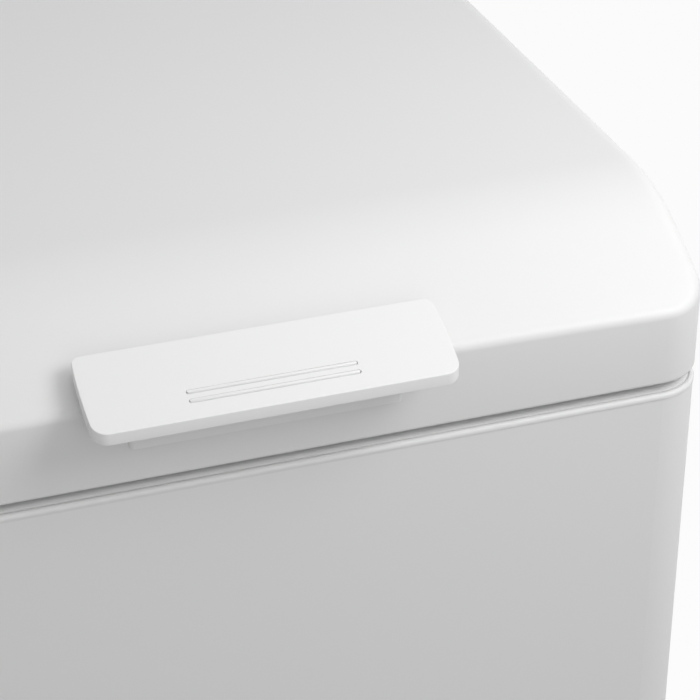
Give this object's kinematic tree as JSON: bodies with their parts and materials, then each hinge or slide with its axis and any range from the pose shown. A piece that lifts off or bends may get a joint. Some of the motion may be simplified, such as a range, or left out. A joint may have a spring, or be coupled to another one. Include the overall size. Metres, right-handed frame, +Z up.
{
  "type": "chest freezer",
  "caption": "Compact white chest freezer with a sloping-front hinged lid, plate handle, sprung cam hinges, stepped tank, wire basket and a rear machine compartment.",
  "frame": {"origin": "on the floor, under the middle of the overall box", "axes": "+Z up, front faces -Y, +X to the right seen from the front"},
  "size_m": [0.5286, 0.5686, 0.865],
  "materials": {
    "white_enamel": "satin",
    "white_plastic": "satin",
    "embossed_aluminium": "satin",
    "grey_sheet": "satin",
    "foam": "matte",
    "copper_tube": "satin",
    "steel_tube": "satin",
    "dark_plastic": "matte",
    "grey_plastic": "satin",
    "gasket_grey": "matte",
    "black_enamel": "satin",
    "black_rubber": "matte",
    "zinc_steel": "satin",
    "spring_steel": "satin",
    "green_lens": "gloss",
    "red_lens": "gloss",
    "coated_wire": "satin"
  },
  "bodies": {
    "cabinet": {"cabinet_wrap": "white_enamel", "back_panel": "grey_sheet", "base_pan": "grey_sheet", "top_frame": "white_plastic", "inner_liner": "embossed_aluminium", "insulation": "foam", "compartment_bulkhead": "grey_sheet", "evaporator_coil": "copper_tube", "condenser_coil": "steel_tube", "feet": "dark_plastic", "wall_spacer_left": "grey_plastic", "wall_spacer_right": "grey_plastic", "compressor_shell": "black_enamel", "compressor_base": "black_enamel", "compressor_grommets": "black_rubber", "compressor_bolts": "zinc_steel", "relay_cover": "dark_plastic", "suction_tube": "copper_tube", "discharge_tube": "copper_tube", "filter_drier": "copper_tube", "capillary_tube": "copper_tube", "side_grille": "white_plastic", "rear_cover": "grey_sheet", "rear_cover_screws": "zinc_steel", "cord_gland": "dark_plastic", "control_panel": "white_plastic", "thermostat": "dark_plastic", "power_lens": "green_lens", "alarm_lens": "red_lens", "drain_tube": "grey_plastic", "hinge_bracket_left": "zinc_steel", "hinge_bracket_right": "zinc_steel", "hinge_spring_left": "spring_steel", "hinge_spring_right": "spring_steel", "hinge_pins": "zinc_steel", "bracket_screws": "zinc_steel"},
    "lid": {"lid_shell": "white_enamel", "lid_liner": "white_plastic", "lid_insulation": "foam", "lid_gasket": "gasket_grey", "handle_plate": "white_plastic", "handle_base": "white_plastic", "handle_screws": "zinc_steel", "hinge_leaf_left": "zinc_steel", "hinge_leaf_right": "zinc_steel", "leaf_screws": "zinc_steel"},
    "left_plunger": {"hinge_plunger_left": "zinc_steel"},
    "right_plunger": {"hinge_plunger_right": "zinc_steel"},
    "dial": {"thermostat_shaft": "zinc_steel", "thermostat_knob": "grey_plastic"},
    "button": {"fast_freeze_button": "grey_plastic"},
    "inner_plug": {"inner_drain_plug": "grey_plastic"},
    "outer_plug": {"outer_drain_plug": "grey_plastic"},
    "basket": {"basket_rim": "coated_wire", "basket_floor": "coated_wire", "basket_ends": "coated_wire", "basket_sides": "coated_wire"}
  },
  "joints": [
    {"name": "lid_hinge", "type": "hinge", "parent": "cabinet", "child": "lid", "pos_m": [0, 0.275, 0.7862], "axis": [-1, 0, 0], "range_deg": [0, 80]},
    {"name": "left_plunger_slide", "type": "slide", "parent": "cabinet", "child": "left_plunger", "axis": [0, 0, 1], "range_m": [0, 0.0115], "deforming": ["hinge_spring_left"]},
    {"name": "right_plunger_slide", "type": "slide", "parent": "cabinet", "child": "right_plunger", "axis": [0, 0, 1], "range_m": [0, 0.0115], "deforming": ["hinge_spring_right"]},
    {"name": "thermostat_turn", "type": "hinge", "parent": "cabinet", "child": "dial", "pos_m": [0.202, -0.2574, 0.15], "axis": [0, -1, 0], "range_deg": [-270, 0]},
    {"name": "fast_freeze_press", "type": "slide", "parent": "cabinet", "child": "button", "axis": [0, 1, 0], "range_m": [0, 0.002], "stiffness_N_per_m": 600},
    {"name": "basket_slide", "type": "slide", "parent": "cabinet", "child": "basket", "axis": [-1, 0, 0], "range_m": [0, 0.19]},
    {"name": "inner_plug_pull", "type": "slide", "parent": "cabinet", "child": "inner_plug", "axis": [0, 0, 1], "range_m": [0, 0.04]},
    {"name": "outer_plug_pull", "type": "slide", "parent": "cabinet", "child": "outer_plug", "axis": [0, -1, 0], "range_m": [0, 0.03]}
  ],
  "couplings": [
    {"joint": "left_plunger_slide", "follows": "lid_hinge", "m_per_rad": 0.008},
    {"joint": "right_plunger_slide", "follows": "lid_hinge", "m_per_rad": 0.008}
  ]
}
